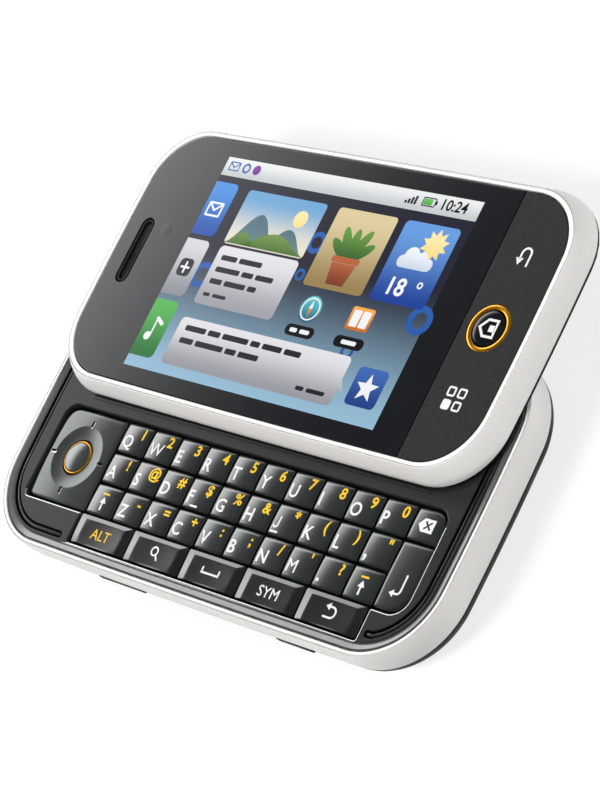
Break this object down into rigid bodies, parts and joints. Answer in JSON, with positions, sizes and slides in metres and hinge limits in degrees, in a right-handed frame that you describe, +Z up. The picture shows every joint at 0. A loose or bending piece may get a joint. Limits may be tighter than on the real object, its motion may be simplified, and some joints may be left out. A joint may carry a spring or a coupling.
{
  "type": "slider phone",
  "caption": "Side-slider phone lying open: a glass-faced display half over a base with a full keyboard, a four-way pad and side keys.",
  "frame": {"origin": "middle of the base's flat underside", "axes": "+X along the long side towards the end with the home button, +Y the way the display half opens, +Z up out of the face"},
  "size_m": [0.1146, 0.0862, 0.0156],
  "materials": {
    "pearl": "satin pearl silver",
    "cover_glass": "gloss black",
    "charcoal": "fine texture",
    "deck_grey": "satin",
    "key_black": "gloss",
    "pad_grey": "metallic satin",
    "gold": "polished",
    "mat_rubber": "matte",
    "shell_black": "soft touch",
    "lens_black": "gloss",
    "steel": "plated",
    "board": "lacquered",
    "cell": "wrapped",
    "screen": "lit screen"
  },
  "bodies": {
    "base": {"base_frame": "pearl", "keyboard_deck": "deck_grey", "keypad_mat": "mat_rubber", "slide_rail_plate": "steel", "main_board": "board", "battery": "cell", "battery_door": "shell_black", "back_housing": "shell_black", "camera_module": "lens_black", "usb_socket": "steel"},
    "display": {"display_frame": "pearl", "display_glass": "cover_glass", "chin_panel": "charcoal", "home_ring": "gold", "earpiece_grille": "shell_black", "lcd_module": "screen", "display_back_plate": "shell_black"},
    "home_button": {"home_button": "charcoal"},
    "nav_pad": {"nav_pad": "pad_grey"},
    "ok_button": {"ok_button": "pad_grey"},
    "volume_rocker": {"volume_rocker": "shell_black"},
    "camera_key": {"camera_key": "shell_black"},
    "lock_key": {"lock_key": "shell_black"},
    "key_q": {"key_q": "key_black"},
    "key_w": {"key_w": "key_black"},
    "key_e": {"key_e": "key_black"},
    "key_r": {"key_r": "key_black"},
    "key_t": {"key_t": "key_black"},
    "key_y": {"key_y": "key_black"},
    "key_u": {"key_u": "key_black"},
    "key_i": {"key_i": "key_black"},
    "key_o": {"key_o": "key_black"},
    "key_p": {"key_p": "key_black"},
    "key_backspace": {"key_backspace": "key_black"},
    "key_a": {"key_a": "key_black"},
    "key_s": {"key_s": "key_black"},
    "key_d": {"key_d": "key_black"},
    "key_f": {"key_f": "key_black"},
    "key_g": {"key_g": "key_black"},
    "key_h": {"key_h": "key_black"},
    "key_j": {"key_j": "key_black"},
    "key_k": {"key_k": "key_black"},
    "key_l": {"key_l": "key_black"},
    "key_comma": {"key_comma": "key_black"},
    "key_enter": {"key_enter": "key_black"},
    "key_shift_left": {"key_shift_left": "key_black"},
    "key_z": {"key_z": "key_black"},
    "key_x": {"key_x": "key_black"},
    "key_c": {"key_c": "key_black"},
    "key_v": {"key_v": "key_black"},
    "key_b": {"key_b": "key_black"},
    "key_n": {"key_n": "key_black"},
    "key_m": {"key_m": "key_black"},
    "key_period": {"key_period": "key_black"},
    "key_shift_right": {"key_shift_right": "key_black"},
    "key_alt": {"key_alt": "key_black"},
    "key_search": {"key_search": "key_black"},
    "key_space": {"key_space": "key_black"},
    "key_symbol": {"key_symbol": "key_black"},
    "key_back": {"key_back": "key_black"}
  },
  "joints": [
    {"name": "display_slide", "type": "slide", "parent": "base", "child": "display", "axis": [0, 1, 0], "range_m": [-0.02909, 0]},
    {"name": "home_button_press", "type": "slide", "parent": "display", "child": "home_button", "axis": [0, 0, -1], "range_m": [0, 0.00025], "stiffness_N_per_m": 800, "springref_m": -0.0002},
    {"name": "nav_pad_tilt", "type": "hinge", "parent": "base", "child": "nav_pad", "pos_m": [-0.041, -0.01076, 0.0095], "axis": [1, 0, 0], "range_deg": [-1.5, 1.5], "stiffness_Nm_per_rad": 0.3},
    {"name": "ok_button_press", "type": "slide", "parent": "base", "child": "ok_button", "axis": [0, 0, -1], "range_m": [0, 0.00025], "stiffness_N_per_m": 800, "springref_m": -0.0002},
    {"name": "volume_rocker_tilt", "type": "hinge", "parent": "base", "child": "volume_rocker", "pos_m": [-0.0213, -0.0277, 0.0035], "axis": [0, 0, 1], "range_deg": [-2.5, 2.5], "stiffness_Nm_per_rad": 0.15},
    {"name": "camera_key_press", "type": "slide", "parent": "base", "child": "camera_key", "axis": [0, 1, 0], "range_m": [0, 0.0004], "stiffness_N_per_m": 800, "springref_m": -0.0002},
    {"name": "lock_key_press", "type": "slide", "parent": "base", "child": "lock_key", "axis": [0, -1, 0], "range_m": [0, 0.0004], "stiffness_N_per_m": 800, "springref_m": -0.0002},
    {"name": "key_q_press", "type": "slide", "parent": "base", "child": "key_q", "axis": [0, 0, -1], "range_m": [0, 0.00025], "stiffness_N_per_m": 800, "springref_m": -0.0002},
    {"name": "key_w_press", "type": "slide", "parent": "base", "child": "key_w", "axis": [0, 0, -1], "range_m": [0, 0.00025], "stiffness_N_per_m": 800, "springref_m": -0.0002},
    {"name": "key_e_press", "type": "slide", "parent": "base", "child": "key_e", "axis": [0, 0, -1], "range_m": [0, 0.00025], "stiffness_N_per_m": 800, "springref_m": -0.0002},
    {"name": "key_r_press", "type": "slide", "parent": "base", "child": "key_r", "axis": [0, 0, -1], "range_m": [0, 0.00025], "stiffness_N_per_m": 800, "springref_m": -0.0002},
    {"name": "key_t_press", "type": "slide", "parent": "base", "child": "key_t", "axis": [0, 0, -1], "range_m": [0, 0.00025], "stiffness_N_per_m": 800, "springref_m": -0.0002},
    {"name": "key_y_press", "type": "slide", "parent": "base", "child": "key_y", "axis": [0, 0, -1], "range_m": [0, 0.00025], "stiffness_N_per_m": 800, "springref_m": -0.0002},
    {"name": "key_u_press", "type": "slide", "parent": "base", "child": "key_u", "axis": [0, 0, -1], "range_m": [0, 0.00025], "stiffness_N_per_m": 800, "springref_m": -0.0002},
    {"name": "key_i_press", "type": "slide", "parent": "base", "child": "key_i", "axis": [0, 0, -1], "range_m": [0, 0.00025], "stiffness_N_per_m": 800, "springref_m": -0.0002},
    {"name": "key_o_press", "type": "slide", "parent": "base", "child": "key_o", "axis": [0, 0, -1], "range_m": [0, 0.00025], "stiffness_N_per_m": 800, "springref_m": -0.0002},
    {"name": "key_p_press", "type": "slide", "parent": "base", "child": "key_p", "axis": [0, 0, -1], "range_m": [0, 0.00025], "stiffness_N_per_m": 800, "springref_m": -0.0002},
    {"name": "key_backspace_press", "type": "slide", "parent": "base", "child": "key_backspace", "axis": [0, 0, -1], "range_m": [0, 0.00025], "stiffness_N_per_m": 800, "springref_m": -0.0002},
    {"name": "key_a_press", "type": "slide", "parent": "base", "child": "key_a", "axis": [0, 0, -1], "range_m": [0, 0.00025], "stiffness_N_per_m": 800, "springref_m": -0.0002},
    {"name": "key_s_press", "type": "slide", "parent": "base", "child": "key_s", "axis": [0, 0, -1], "range_m": [0, 0.00025], "stiffness_N_per_m": 800, "springref_m": -0.0002},
    {"name": "key_d_press", "type": "slide", "parent": "base", "child": "key_d", "axis": [0, 0, -1], "range_m": [0, 0.00025], "stiffness_N_per_m": 800, "springref_m": -0.0002},
    {"name": "key_f_press", "type": "slide", "parent": "base", "child": "key_f", "axis": [0, 0, -1], "range_m": [0, 0.00025], "stiffness_N_per_m": 800, "springref_m": -0.0002},
    {"name": "key_g_press", "type": "slide", "parent": "base", "child": "key_g", "axis": [0, 0, -1], "range_m": [0, 0.00025], "stiffness_N_per_m": 800, "springref_m": -0.0002},
    {"name": "key_h_press", "type": "slide", "parent": "base", "child": "key_h", "axis": [0, 0, -1], "range_m": [0, 0.00025], "stiffness_N_per_m": 800, "springref_m": -0.0002},
    {"name": "key_j_press", "type": "slide", "parent": "base", "child": "key_j", "axis": [0, 0, -1], "range_m": [0, 0.00025], "stiffness_N_per_m": 800, "springref_m": -0.0002},
    {"name": "key_k_press", "type": "slide", "parent": "base", "child": "key_k", "axis": [0, 0, -1], "range_m": [0, 0.00025], "stiffness_N_per_m": 800, "springref_m": -0.0002},
    {"name": "key_l_press", "type": "slide", "parent": "base", "child": "key_l", "axis": [0, 0, -1], "range_m": [0, 0.00025], "stiffness_N_per_m": 800, "springref_m": -0.0002},
    {"name": "key_comma_press", "type": "slide", "parent": "base", "child": "key_comma", "axis": [0, 0, -1], "range_m": [0, 0.00025], "stiffness_N_per_m": 800, "springref_m": -0.0002},
    {"name": "key_enter_press", "type": "slide", "parent": "base", "child": "key_enter", "axis": [0, 0, -1], "range_m": [0, 0.00025], "stiffness_N_per_m": 800, "springref_m": -0.0002},
    {"name": "key_shift_left_press", "type": "slide", "parent": "base", "child": "key_shift_left", "axis": [0, 0, -1], "range_m": [0, 0.00025], "stiffness_N_per_m": 800, "springref_m": -0.0002},
    {"name": "key_z_press", "type": "slide", "parent": "base", "child": "key_z", "axis": [0, 0, -1], "range_m": [0, 0.00025], "stiffness_N_per_m": 800, "springref_m": -0.0002},
    {"name": "key_x_press", "type": "slide", "parent": "base", "child": "key_x", "axis": [0, 0, -1], "range_m": [0, 0.00025], "stiffness_N_per_m": 800, "springref_m": -0.0002},
    {"name": "key_c_press", "type": "slide", "parent": "base", "child": "key_c", "axis": [0, 0, -1], "range_m": [0, 0.00025], "stiffness_N_per_m": 800, "springref_m": -0.0002},
    {"name": "key_v_press", "type": "slide", "parent": "base", "child": "key_v", "axis": [0, 0, -1], "range_m": [0, 0.00025], "stiffness_N_per_m": 800, "springref_m": -0.0002},
    {"name": "key_b_press", "type": "slide", "parent": "base", "child": "key_b", "axis": [0, 0, -1], "range_m": [0, 0.00025], "stiffness_N_per_m": 800, "springref_m": -0.0002},
    {"name": "key_n_press", "type": "slide", "parent": "base", "child": "key_n", "axis": [0, 0, -1], "range_m": [0, 0.00025], "stiffness_N_per_m": 800, "springref_m": -0.0002},
    {"name": "key_m_press", "type": "slide", "parent": "base", "child": "key_m", "axis": [0, 0, -1], "range_m": [0, 0.00025], "stiffness_N_per_m": 800, "springref_m": -0.0002},
    {"name": "key_period_press", "type": "slide", "parent": "base", "child": "key_period", "axis": [0, 0, -1], "range_m": [0, 0.00025], "stiffness_N_per_m": 800, "springref_m": -0.0002},
    {"name": "key_shift_right_press", "type": "slide", "parent": "base", "child": "key_shift_right", "axis": [0, 0, -1], "range_m": [0, 0.00025], "stiffness_N_per_m": 800, "springref_m": -0.0002},
    {"name": "key_alt_press", "type": "slide", "parent": "base", "child": "key_alt", "axis": [0, 0, -1], "range_m": [0, 0.00025], "stiffness_N_per_m": 800, "springref_m": -0.0002},
    {"name": "key_search_press", "type": "slide", "parent": "base", "child": "key_search", "axis": [0, 0, -1], "range_m": [0, 0.00025], "stiffness_N_per_m": 800, "springref_m": -0.0002},
    {"name": "key_space_press", "type": "slide", "parent": "base", "child": "key_space", "axis": [0, 0, -1], "range_m": [0, 0.00025], "stiffness_N_per_m": 800, "springref_m": -0.0002},
    {"name": "key_symbol_press", "type": "slide", "parent": "base", "child": "key_symbol", "axis": [0, 0, -1], "range_m": [0, 0.00025], "stiffness_N_per_m": 800, "springref_m": -0.0002},
    {"name": "key_back_press", "type": "slide", "parent": "base", "child": "key_back", "axis": [0, 0, -1], "range_m": [0, 0.00025], "stiffness_N_per_m": 800, "springref_m": -0.0002}
  ]
}
